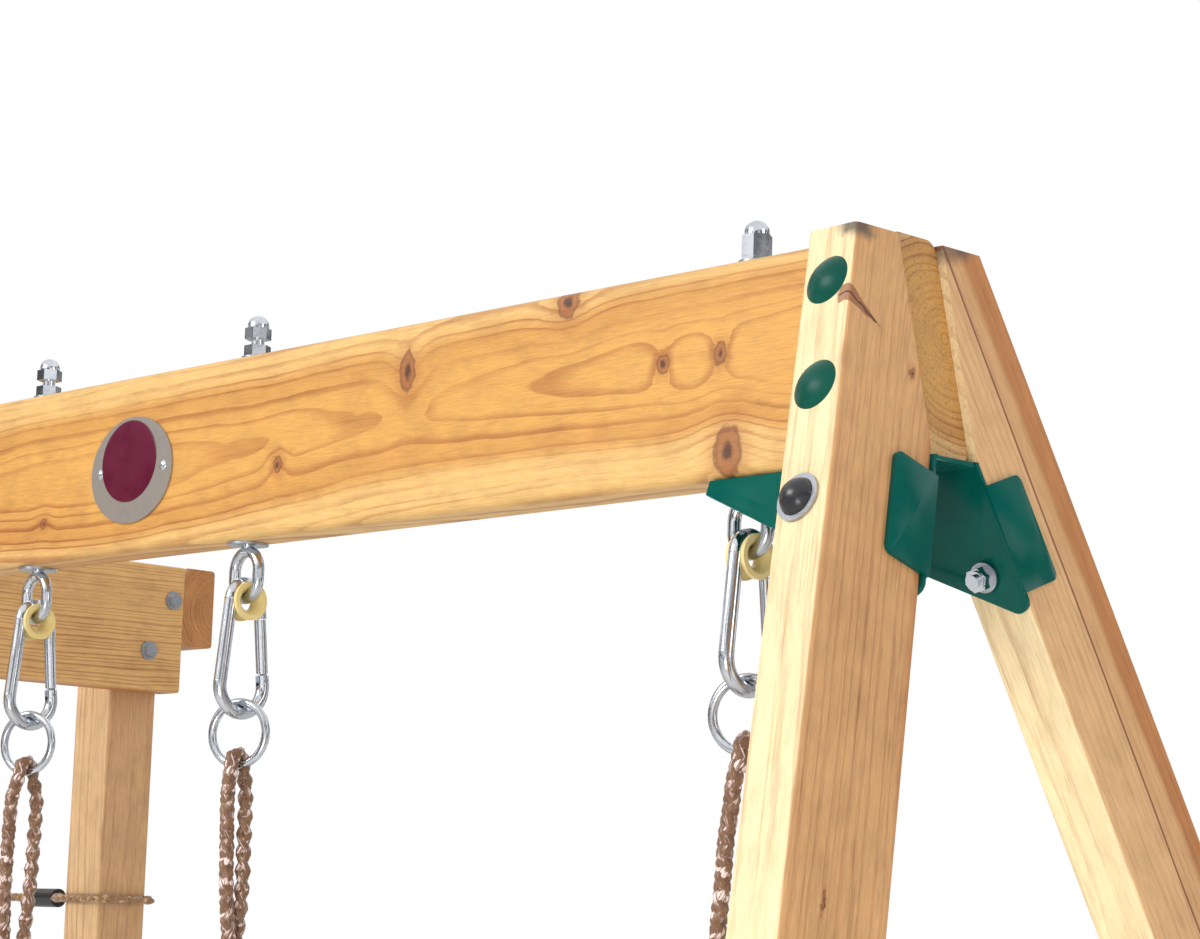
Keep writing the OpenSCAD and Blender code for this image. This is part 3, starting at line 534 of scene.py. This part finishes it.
# The end-face tints on both legs are partly browner heartwood, partly painted shade.
front_leg_timber = timber(
    "Front leg timber", start_front, up_front, end_front, (0, 0.03, 0.02), LEG_WOODS,
    knots=[((0.087, 0.0, -0.028), 0.0026, (0.7, 0.3, 1.2)), ((0.042, 0.0, -0.0225), 0.0028, (0.8, 0.3, 1.2)),
           ((-0.292, 0.0, -0.050), 0.0014, (0.3, 0.3, 1))],
    dark_patches=[((LEG_END, 0.0, -0.079), 0.0045, (1.0, 0.6, 0.6), 0.85, DARK_TOP_PATCH)],
    sides=[(end_front, END_FACE_BROWN_AND_SHADE, 1.0)],
    ring=0.0062, wander=0.03, contrast=0.28, sap_from=0.036, fleck=0.5, extra=spike_knot)
back_leg_timber = timber(
    "Back leg timber", start_back, up_back, end_back, (0, 0.02, 0.09), LEG_WOODS,
    knots=[((-0.62, 0.0, 0.05), 0.0060, (0.6, 0.5, 0.8))],
    dark_patches=[((LEG_END + 0.011, 0.0, 0.056), 0.0060, (1.0, 0.6, 0.5), 0.85, DARK_TOP_PATCH)],
    sides=[(end_back, srgb(232, 204, 182), 1.0)],
    ring=0.0062, wander=0.022, contrast=0.3, sap_from=0.036, fleck=0.4, extra=long_line)
finish_with("front_leg", front_leg_timber)
finish_with("back_leg", back_leg_timber)
finish_with("leg_spreader", timber(
    "Spreader timber", (0, 0, 0.7), (0, 1, 0), (1, 0, 0), (0, 0.03, 0.03), LEG_WOODS))

# %% [markdown]
# ## The climbing bay
# Headers and rails are the same stock as the beam. The posts stand on end, so their grain runs up.

# %% Bay timber
AMBER = (srgb(202, 138, 72), srgb(216, 168, 104), srgb(136, 74, 26))
PALE = (srgb(208, 158, 104), srgb(226, 188, 140), srgb(154, 98, 56))
header_low, header_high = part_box("near_header")
near_header_timber = timber(
    "Near header timber", (header_high[0], 0.59, header_low[2]), (0, 1, 0), (1, 0, 0),
    (0, -0.04, 0.05), AMBER, contrast=0.55,
    knots=[((-0.235, 0, 0.055), 0.004, (0.8, 0.4, 1)), ((-0.86, 0, 0.08), 0.006, (0.8, 0.4, 1))])
finish_with("near_header", near_header_timber)
finish_with("far_header", timber(
    "Far header timber", (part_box("far_header")[0][0], 0.3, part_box("far_header")[0][2]), (0, 1, 0), (1, 0, 0),
    (0, 0.03, 0.05), AMBER, knots=[((-0.42, 0, 0.06), 0.006, ROUND)]))
for number, rail in enumerate(("front_top_rail", "back_top_rail", "front_low_rail", "back_low_rail")):
    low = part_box(rail)[0]
    finish_with(rail, timber(
        rail.replace("_", " ") + " timber", (low[0] + 0.3 * number, low[1], low[2]), (1, 0, 0), (0, 1, 0),
        (0, 0.05, 0.03 + 0.01 * number), AMBER,
        knots=[((0.25 + 0.1 * number, 0.02, 0.05), 0.006, (0.8, 0.3, 1))]))
# Each post's faces that look along X get a grey tint: partly their own tone, partly painted shade.
for number, post in enumerate(("near_front_post", "near_back_post", "far_front_post", "far_back_post")):
    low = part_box(post)[0]
    finish_with(post, timber(
        post.replace("_", " ") + " timber", (low[0], low[1], 0.31 * number), (0, 0, 1), (1, 0, 0),
        (0, -0.02 + 0.01 * number, 0.07), PALE, wander=0.02, sides=[((1, 0, 0), srgb(226, 212, 200), 1.0)],
        knots=[((1.22, 0.062, -0.03), 0.0035, (0.7, 0.6, 1)), ((0.66, 0.0, -0.02), 0.004, (0.7, 0.6, 1))]))
print("timber finishes", len([m for m in bpy.data.materials if "timber" in m.name]))

# %% [markdown]
# ## Steel, zinc, plastic
# Powder coat is smooth with a faint orange-peel ripple. Zinc plate is bright, with cloudy patches
# and a fine grit. Moulded plastics carry a fine even texture. One group makes the patchy
# roughness for all of them.

# %% Group: surface wear
handled, given, result = group_with(
    "Handled surface",
    [("Point", "vector", (0, 0, 0)), ("Scale", "value", 1.0), ("Base", "colour", (0.5, 0.5, 0.5, 1)),
     ("Worn", "colour", (0.7, 0.7, 0.7, 1)), ("Low Rough", "value", 0.2), ("High Rough", "value", 0.4)],
    [("Color", "colour"), ("Roughness", "value"), ("Height", "value")])
scaled = vector_calc(handled, "SCALE", given["Point"])
feed(handled, given["Scale"], scaled.node.inputs["Scale"])
patches = speckle(handled, scaled, 28, 4, 0.6)
grit = speckle(handled, scaled, 900, 2, 0.5)
ripple = speckle(handled, scaled, 260, 1, 0.4)
amount = step(handled, patches, 0.35, 0.75)
feed(handled, mix_colour(handled, amount, given["Base"], given["Worn"]), result["Color"])
spread = calc(handled, "SUBTRACT", given["High Rough"], given["Low Rough"])
rougher = calc(handled, "MULTIPLY", amount, spread)
feed(handled, calc(handled, "ADD", given["Low Rough"], rougher), result["Roughness"])
feed(handled, calc(handled, "ADD", calc(handled, "MULTIPLY", grit, 0.3), ripple), result["Height"])


# %% Plain finishes
def coated(name, base, worn, rough, depth, scale=1.0, metal=0.0, coat=0.0, gloss=0.5):
    material, tree, shader, point = new_material(name)
    surface = use(tree, handled, Point=point, Scale=scale, Base=base, Worn=worn, Low_Rough=rough[0],
                  High_Rough=rough[1])
    feed(tree, surface["Color"], shader.inputs["Base Color"])
    feed(tree, surface["Roughness"], shader.inputs["Roughness"])
    shader.inputs["Metallic"].default_value = metal
    shader.inputs["Coat Weight"].default_value = coat
    shader.inputs["Coat Roughness"].default_value = 0.08
    shader.inputs["Specular IOR Level"].default_value = gloss
    bump(tree, shader, surface["Height"], depth, 0.6)
    return material


green_coat = coated("Green powder coat", srgb(0, 84, 75), srgb(0, 92, 82), (0.14, 0.22), 0.00006, gloss=0.16)
green_cap = coated("Green moulded caps", srgb(2, 74, 62), srgb(4, 82, 68), (0.3, 0.4), 0.00005, gloss=0.15)
zinc = coated("Bright zinc plate", srgb(206, 210, 216), srgb(176, 180, 186), (0.12, 0.3), 0.00004, 1.6,
              metal=1.0)
dull_zinc = coated("Dull zinc plate", srgb(186, 190, 196), srgb(150, 154, 160), (0.28, 0.45), 0.00005, 1.6,
                   metal=1.0)
black_plastic = coated("Black moulded plastic", srgb(28, 28, 32), srgb(38, 38, 42), (0.3, 0.42), 0.00005,
                       coat=0.1)
nylon = coated("Natural nylon", srgb(236, 216, 150), srgb(226, 200, 126), (0.35, 0.5), 0.00004)
seat_plastic = coated("Seat plastic", srgb(6, 92, 72), srgb(10, 104, 82), (0.4, 0.55), 0.00012)
brushed = coated("Brushed badge metal", srgb(176, 168, 160), srgb(156, 148, 142), (0.3, 0.42), 0.00004, 1.4,
                 metal=0.6)
wine_enamel = coated("Wine red enamel", srgb(88, 8, 40), srgb(98, 14, 48), (0.25, 0.35), 0.00003, gloss=0.25)

DULL_PARTS = ("lower_washers", "upper_washers", "bracket_washers", "bay_bolts", "shoe_bolts", "beam_bolts",
              "spreader_bolts")
BRIGHT_PARTS = ("snap_hook", "gate", "rings", "eyebolts", "hanger_nuts", "acorn", "bracket_", "badge_screws")
for name in nodes:
    if name == "beam_bolt_caps":
        finish_with(name, green_cap)
    elif name in ("bracket_bolt_caps", "net_ferrules", "net_clamps") or name.startswith("rope_adjusters"):
        finish_with(name, black_plastic)
    elif name.startswith("bushes"):
        finish_with(name, nylon)
    elif name.startswith("seat_"):
        finish_with(name, seat_plastic)
    elif name == "badge":
        finish_with(name, brushed)
    elif name in DULL_PARTS:
        finish_with(name, dull_zinc)
    elif name.startswith(BRIGHT_PARTS):
        finish_with(name, zinc)
print("materials", len(bpy.data.materials))

# %% [markdown]
# ## Bent sheet steel
# The bracket and the shoe are 3 mm sheet. Cut and folded edges of real sheet are slightly round and
# catch the light, so each is a copy of the CAD mesh with its flat faces joined up and its sharp
# edges rounded by half a millimetre.

# %% Sheet steel pieces
def mesh_of(node):
    """The corners and faces of a CAD node as a bmesh, welded where the import had split them."""
    shape = bmesh.new()
    shape.from_mesh(nodes[node].data)
    bmesh.ops.remove_doubles(shape, verts=shape.verts, dist=0.00001)
    return shape


def rounded_copy(node, name, material, radius, body="root"):
    shape = mesh_of(node)
    bmesh.ops.dissolve_limit(shape, angle_limit=math.radians(1), verts=shape.verts, edges=shape.edges)
    mesh = bpy.data.meshes.new(name)
    shape.to_mesh(mesh)
    shape.free()
    mesh.materials.clear()
    mesh.materials.append(material)
    mesh.polygons.foreach_set("use_smooth", [True] * len(mesh.polygons))
    piece = bpy.data.objects.new(name, mesh)
    bpy.context.collection.objects.link(piece)
    soften = piece.modifiers.new("Rounded edges", "BEVEL")
    soften.width = radius
    soften.segments = 2
    soften.limit_method = "ANGLE"
    soften.angle_limit = math.radians(25)
    soften.use_clamp_overlap = True
    soften.harden_normals = True
    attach(piece, body)
    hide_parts(node)
    return piece


for node, name in (("apex_bracket", "folded_bracket"), ("beam_shoe", "folded_shoe")):
    piece = rounded_copy(node, name, green_coat, 0.0006)
    print(piece.name, "faces", len(piece.data.polygons))

# %% [markdown]
# ## Plaited rope
# The rope is a four-strand round plait: two strands wind one way and two the other, each passing
# over and under those it meets. Real strands make the knobbly edge that a bumped tube can't, so each
# is a small swept tube whose distance from the rope's middle rises and falls as it weaves.

# %% Sweep helpers
def frames_along(points):
    """A pair of side directions at each point that turn as little as possible along the path."""
    tangents = []
    for k, p in enumerate(points):
        a, b = points[max(k - 1, 0)], points[min(k + 1, len(points) - 1)]
        tangents.append((b - a).normalized())
    side = tangents[0].orthogonal().normalized()
    pairs = []
    for t in tangents:
        side = (side - t * side.dot(t)).normalized()
        pairs.append((side, t.cross(side)))
    return pairs


def sweep(shape, points, radius, sides):
    """Add a closed round tube along the points to a shape's corners, faces and surface coordinates."""
    verts, faces, surface = shape
    pairs = frames_along(points)
    first = len(verts)
    run = 0.0
    for i, (p, (a, b)) in enumerate(zip(points, pairs)):
        if i:
            run += (p - points[i - 1]).length
        for k in range(sides):
            angle = 2 * math.pi * k / sides
            verts.append(p + a * (radius * math.cos(angle)) + b * (radius * math.sin(angle)))
            surface.append((run, k / sides))
    for i in range(len(points) - 1):
        for k in range(sides):
            p = first + i * sides + k
            q = first + i * sides + (k + 1) % sides
            faces.append((p, q, q + sides, p + sides))
    faces.append(tuple(first + k for k in reversed(range(sides))))
    last = first + (len(points) - 1) * sides
    faces.append(tuple(last + k for k in range(sides)))


def resample(points, spacing):
    """The same path with points at an even spacing."""
    lengths = [0.0]
    for a, b in zip(points, points[1:]):
        lengths.append(lengths[-1] + (b - a).length)
    count = max(2, round(lengths[-1] / spacing))
    out, k = [], 0
    for i in range(count + 1):
        want = lengths[-1] * i / count
        while k < len(points) - 2 and lengths[k + 1] < want:
            k += 1
        share = (want - lengths[k]) / max(lengths[k + 1] - lengths[k], 1e-9)
        out.append(points[k].lerp(points[k + 1], min(max(share, 0), 1)))
    return out, lengths[-1]


def plait(shape, points, rope_radius, pitch, spacing, sides=8):
    """Four woven strands along a path. Returns the path's length."""
    path, length = resample(points, spacing)
    pairs = frames_along(path)
    strand, middle, rise = rope_radius * 0.53, rope_radius * 0.42, rope_radius * 0.12
    for way in (1, -1):
        for number in range(2):
            line = []
            for i, (p, (a, b)) in enumerate(zip(path, pairs)):
                turn = 2 * math.pi * length * i / (len(path) - 1) / pitch
                angle = way * turn + math.pi * number
                out = middle + rise * way * math.cos(2 * turn)
                line.append(p + a * (out * math.cos(angle)) + b * (out * math.sin(angle)))
            sweep(shape, line, strand, sides)
    return length


def mesh_piece(name, shape, material):
    """A smooth mesh object from corners, faces and surface coordinates."""
    verts, faces, surface = shape
    mesh = bpy.data.meshes.new(name)
    mesh.from_pydata([tuple(v) for v in verts], [], faces)
    layer = mesh.uv_layers.new(name="Strand")
    layer.data.foreach_set("uv", [c for loop in mesh.loops for c in surface[loop.vertex_index]])
    mesh.polygons.foreach_set("use_smooth", [True] * len(mesh.polygons))
    mesh.materials.append(material)
    piece = bpy.data.objects.new(name, mesh)
    bpy.context.collection.objects.link(piece)
    return piece


# %% Rope finish
def rope_finish(name, base, worn, painted_glint, shadow):
    """Fine threads run along each strand, with short painted highlight streaks and painted shade in the gaps
    between them.
    """
    material, tree, shader, point = new_material(name)
    surface = use(tree, handled, Point=point, Scale=2.0, Base=base, Worn=worn, Low_Rough=0.3, High_Rough=0.45)
    strand = tree.nodes.new("ShaderNodeUVMap")
    strand.uv_map = "Strand"
    threads = speckle(tree, strand.outputs[0], (130, 17, 1), 2.0, 0.6)
    patches = speckle(tree, strand.outputs[0], (150, 2.6, 1), 1.0, 0.5)
    # The bright streaks are a painted highlight mixed into the base colour.
    painted_shine = calc(tree, "MULTIPLY", step(tree, patches, 0.53, 0.62), step(tree, threads, 0.42, 0.58, 0.1, 1.0))
    # The darker gaps between threads are painted shade.
    colour = mix_colour(tree, step(tree, threads, 0.55, 0.3, 0.0, 0.5), surface["Color"], shadow)
    feed(tree, mix_colour(tree, painted_shine, colour, painted_glint), shader.inputs["Base Color"])
    feed(tree, surface["Roughness"], shader.inputs["Roughness"])
    shader.inputs["Sheen Weight"].default_value = 0.25
    bump(tree, shader, threads, 0.0003, 0.7)
    return material


# The last two colours are the painted highlight and the painted shade between threads.
swing_rope_finish = rope_finish(
    "Brown plaited rope", srgb(132, 94, 64), srgb(118, 80, 52), srgb(250, 226, 220), srgb(80, 52, 32))
net_rope_finish = rope_finish(
    "Tan net rope", srgb(156, 116, 74), srgb(136, 98, 60), srgb(222, 186, 140), srgb(98, 68, 38))

# %% [markdown]
# ## Swing ropes
# Each rope is doubled over its ring and its halves hang side by side. On each hanger they lie a
# little differently: one pair bows apart, one crosses, one stays open. The lie is a short list of
# places down the rope: how far below the ring, how far each half stands off, and which way.

# %% Swing rope routes
ROPE_R = 0.0056
CAD_ROPE_R = 0.00525
PITCH = 0.026
LOOP_R = 0.00825
RING_TURN = 110
SEAT_Z, SEAT_T, ADJUSTER_Z, ADJUSTER_HALF = 0.45, 0.028, 0.78, 0.0095
SEAT_HOLE_X, SEAT_HOLE_Y = 0.205, 0.052
loop_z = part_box("rope_2")[1][2] - CAD_ROPE_R - LOOP_R
seat_mid = [(hanger_x[0] + hanger_x[1]) / 2, (hanger_x[2] + hanger_x[3]) / 2]
ROPE_LIE = [
    [(0, 0.00825, 110), (0.025, 0.0080, 70), (0.06, 0.0100, 45), (0.11, 0.0120, 42), (0.18, 0.0100, 50),
     (0.34, 0.0056, 80)],
    [(0, 0.00825, 110), (0.028, 0.0068, 72), (0.07, 0.0060, 66), (0.14, 0.0054, 120), (0.34, 0.0054, 230)],
    [(0, 0.00825, 110), (0.025, 0.0100, 68), (0.07, 0.0098, 52), (0.17, 0.0065, 50), (0.34, 0.0054, 90)],
    [(0, 0.00825, 110), (0.05, 0.0060, 80), (0.16, 0.0056, 140), (0.34, 0.0054, 230)],
]
ROPE_END_TURN = [90, 270, 90, 270]


def eased(keys, where):
    """The values of a list of (place, value, value) at one place, with a smooth change between."""
    for (a, *start), (b, *end) in zip(keys, keys[1:]):
        if where <= b:
            share = max(0.0, (where - a) / (b - a))
            share = share * share * (3 - 2 * share)
            return [p + (q - p) * share for p, q in zip(start, end)]
    return keys[-1][1:]


def rope_route(i):
    """Points from one knot under the seat, up over the ring and down to the other knot."""
    foot_x = seat_mid[i // 2] + (SEAT_HOLE_X if i % 2 == 0 else -SEAT_HOLE_X)
    top = loop_z - hanger_drop[i]
    keys = ROPE_LIE[i] + [(top - ADJUSTER_Z, ADJUSTER_HALF, ROPE_END_TURN[i])]

    def half(side):
        points = []
        for k in range(161):
            z = top + (ADJUSTER_Z - top) * k / 160
            x = foot_x + (hanger_x[i] - foot_x) * (z - SEAT_Z) / (top - SEAT_Z)
            apart, turn = eased(keys, top - z)
            turn = math.radians(turn)
            points.append(Vector((x + side * apart * math.cos(turn), side * apart * math.sin(turn), z)))
        hole = 1 if points[-1].y > 0 else -1
        foot = Vector((foot_x, hole * SEAT_HOLE_Y, SEAT_Z - SEAT_T - 0.004))
        start = points[-1]
        return points + [start.lerp(foot, k / 30) for k in range(1, 31)]

    turn = math.radians(RING_TURN)
    across = Vector((math.cos(turn), math.sin(turn), 0))
    loop = []
    for k in range(1, 16):
        angle = math.pi * k / 16
        middle = Vector((hanger_x[i], 0, top + LOOP_R * math.sin(angle)))
        loop.append(middle + across * (LOOP_R * math.cos(angle)))
    return list(reversed(half(1))) + loop + half(-1)


# %% Swing ropes
for i in range(4):
    shape = ([], [], [])
    route = rope_route(i)
    length = plait(shape, route, ROPE_R, PITCH, 0.0024)
    for foot in (route[0], route[-1]):
        turns = []
        for k in range(81):
            angle = 2 * math.pi * k / 80
            turns.append(foot + Vector((
                0.0055 * math.sin(2 * angle + 0.5) + 0.001,
                (0.0045 + 0.0018 * math.cos(3 * angle)) * math.cos(2 * angle),
                -0.0065 + 0.0048 * math.sin(3 * angle))))
        sweep(shape, turns, ROPE_R * 0.86, 10)
    rope = mesh_piece(f"plaited_rope_{i + 1}", shape, swing_rope_finish)
    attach(rope, "swing_1" if i < 2 else "swing_2")
    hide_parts(f"rope_{i + 1}")
    print(rope.name, "length", round(length, 3), "corners", len(shape[0]))

# %% [markdown]
# ## Rope net
# Level ropes loop round the posts and are drawn in to a black ferrule; upright ropes cross them
# in moulded clamps. The same plait is used at a coarser spacing.

# %% Net ropes
NET_R = 0.005
NET_SPACING = 0.004
POST_HALF = 0.031
FERRULE_OUT, FERRULE_HALF = 0.087, 0.0046
net_top = beam_under - 0.249
NET_STEP, NET_ROWS, NET_COLUMNS = 0.29, 5, 3
net_y = (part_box("near_back_post")[0][1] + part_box("near_back_post")[1][1]) / 2
post_x = {}
for post in ("near_back_post", "far_back_post"):
    low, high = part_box(post)
    post_x[post] = (low[0] + high[0]) / 2


def post_loop(x, way, z):
    """From the ferrule round the outside of a post and back; way is the bay's outward side."""
    stand = POST_HALF + NET_R
    corner = 0.006
    points = [Vector((x - way * (FERRULE_OUT + 0.02), net_y + FERRULE_HALF, z))]
    points.append(Vector((x - way * FERRULE_OUT, net_y + FERRULE_HALF, z)))
    points.append(Vector((x - way * (POST_HALF + 0.004), net_y + stand - 0.002, z)))
    for start, centre_y in ((90, stand - corner), (0, corner - stand)):
        for k in range(7):
            angle = math.radians(start - 90 * k / 6)
            points.append(Vector((x + way * (stand - corner + corner * math.cos(angle)),
                                  net_y + centre_y + corner * math.sin(angle), z)))
    points.append(Vector((x - way * (POST_HALF + 0.004), net_y - stand + 0.002, z)))
    points.append(Vector((x - way * FERRULE_OUT, net_y - FERRULE_HALF, z)))
    points.append(Vector((x - way * (FERRULE_OUT + 0.02), net_y - FERRULE_HALF, z)))
    return points


net = ([], [], [])
net_length = 0.0
for row in range(NET_ROWS):
    z = net_top - row * NET_STEP
    for post, way in (("near_back_post", 1), ("far_back_post", -1)):
        net_length += plait(net, post_loop(post_x[post], way, z), NET_R, PITCH, NET_SPACING, 6)
    ends = [Vector((post_x["far_back_post"] + FERRULE_OUT + 0.01, net_y, z)),
            Vector((post_x["near_back_post"] - FERRULE_OUT - 0.01, net_y, z))]
    net_length += plait(net, ends, NET_R, PITCH, NET_SPACING, 6)
span = post_x["near_back_post"] - post_x["far_back_post"]
net_low = net_top - (NET_ROWS - 1) * NET_STEP
for column in range(1, NET_COLUMNS + 1):
    x = post_x["far_back_post"] + column * span / (NET_COLUMNS + 1)
    upright = [Vector((x, net_y, net_low - NET_R)), Vector((x, net_y, net_top + NET_R))]
    net_length += plait(net, upright, NET_R, PITCH, NET_SPACING, 6)
net_piece = mesh_piece("plaited_net", net, net_rope_finish)
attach(net_piece, "root")
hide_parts("net_ropes")
print("net rope", round(net_length, 2), "m, corners", len(net[0]))

# %% [markdown]
# ## Moulded seats
# The seats and the rope adjusters are plastic mouldings, so their edges are fully rounded. The top of
# each seat has low ribs for grip, with rounded ends.

# %% Seats and adjusters
RIB_SUNK = 0.0002


def add_rib(shape, start, end, width, height):
    """A low bar with a half-round section and rounded ends, from start to end along x."""
    verts, faces, surface = shape
    first, turns, steps = len(verts), 12, 8
    run = (end - start).length
    quarter = [math.pi / 2 * k / steps for k in range(steps + 1)]
    places = [(-math.cos(a) * width / 2, math.sin(a)) for a in quarter]
    places += [(run + math.sin(a) * width / 2, math.cos(a)) for a in quarter]
    for along, share in places:
        for k in range(turns + 1):
            angle = math.pi * k / turns
            rise = share * height * math.sin(angle) - RIB_SUNK
            verts.append(start + Vector((along, share * width / 2 * math.cos(angle), rise)))
            surface.append((along, k / turns))
    for i in range(len(places) - 1):
        for k in range(turns):
            p = first + i * (turns + 1) + k
            faces.append((p, p + turns + 1, p + turns + 2, p + 1))
        p = first + i * (turns + 1)
        faces.append((p, p + turns, p + 2 * turns + 1, p + turns + 1))


for number in (1, 2):
    body = f"swing_{number}"
    seat = rounded_copy(f"seat_{number}", f"moulded_seat_{number}", seat_plastic, 0.004, body)
    ribs = ([], [], [])
    for row in range(-4, 5):
        half_run = 0.180 if abs(row) == 4 else 0.186
        middle = Vector((seat_mid[number - 1], row * 0.0152, SEAT_Z))
        add_rib(ribs, middle - Vector((half_run, 0, 0)), middle + Vector((half_run, 0, 0)), 0.0062, 0.0013)
    grip = mesh_piece(f"seat_ribs_{number}", ribs, seat_plastic)
    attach(grip, body)
    rounded_copy(f"rope_adjusters_{number}", f"moulded_adjusters_{number}", black_plastic,
                 0.003, body)
    print(seat.name, "and its ribs,", len(ribs[1]), "rib faces")

# %% [markdown]
# ## Badge
# An oval of brushed metal with a low wine-red oval set a little above its middle. It carries no letters.

# %% Badge inlay
def domed_oval(name, centre, half_wide, half_high, rise, material, rings=8, sides=72):
    """A low round cushion that stands off the beam's front, with a narrow step at its edge."""
    verts, faces = [], []
    profile = [(1.0, 0.0), (0.995, rise * 0.45), (0.97, rise * 0.62)]
    quarter = [math.pi / 2 * k / rings for k in range(rings)]
    profile += [(0.95 * math.cos(a), rise * (0.62 + 0.38 * math.sin(a))) for a in quarter]
    for share, out in profile:
        for k in range(sides):
            angle = 2 * math.pi * k / sides
            verts.append(centre + Vector((
                half_wide * share * math.cos(angle), -out, half_high * share * math.sin(angle))))
    verts.append(centre + Vector((0, -rise, 0)))
    for i in range(len(profile) - 1):
        for k in range(sides):
            p, q = i * sides + k, i * sides + (k + 1) % sides
            faces.append((p, q, q + sides, p + sides))
    last = (len(profile) - 1) * sides
    faces += [(last + k, last + (k + 1) % sides, len(verts) - 1) for k in range(sides)]
    faces.append(tuple(reversed(range(sides))))
    return mesh_piece(name, (verts, faces, [(0, 0)] * len(verts)), material)


badge_face = on_beam(0.748, 0.0690) - Vector((0, 0.0016, 0))
inlay = domed_oval("badge_inlay", badge_face, 0.0345, 0.0312, 0.0007, wine_enamel)
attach(inlay, "root")
